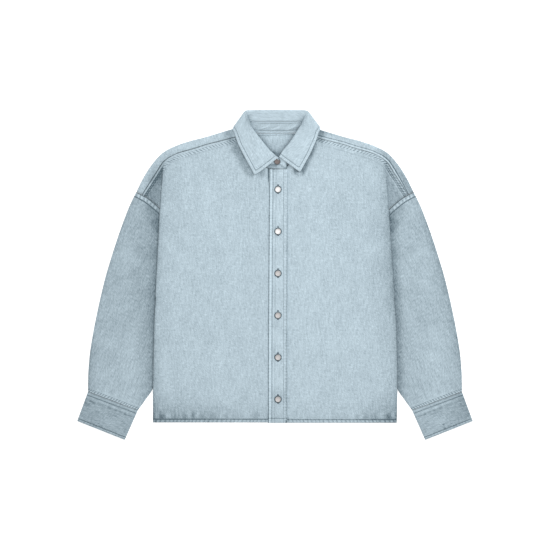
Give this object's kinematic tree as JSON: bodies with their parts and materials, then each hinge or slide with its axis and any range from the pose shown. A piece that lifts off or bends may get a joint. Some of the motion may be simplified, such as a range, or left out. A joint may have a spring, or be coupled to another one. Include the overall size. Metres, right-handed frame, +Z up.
{
  "type": "denim shirt",
  "caption": "Buttoned denim shirt with collar, placket, long sleeves and cuffs, laid flat on its back; dressing or clothing a bed, shelf or table top.",
  "frame": {"origin": "middle of the outline's box, on the surface that the shirt lies on", "axes": "+Z up from the surface through the front; +Y towards the collar; +X towards the wearer's left sleeve"},
  "size_m": [0.8506, 0.7085, 0.026],
  "materials": {
    "denim": "pale blue washed denim, matt",
    "collar_denim": "pale blue washed denim, matt, two layers",
    "cuff_denim": "pale blue washed denim, a shade darker, two layers",
    "button_metal": "pale silver, satin"
  },
  "bodies": {
    "root": {"back_panel": "denim", "back_yoke": "denim", "front_right": "denim", "front_left": "denim", "button_placket": "denim", "sleeve_right": "denim", "sleeve_left": "denim", "cuff_right": "cuff_denim", "cuff_left": "cuff_denim", "collar_stand": "collar_denim", "collar_leaf": "collar_denim", "button_1": "button_metal", "button_2": "button_metal", "button_3": "button_metal", "button_4": "button_metal", "button_5": "button_metal", "button_6": "button_metal", "button_stand": "button_metal"}
  },
  "joints": []
}
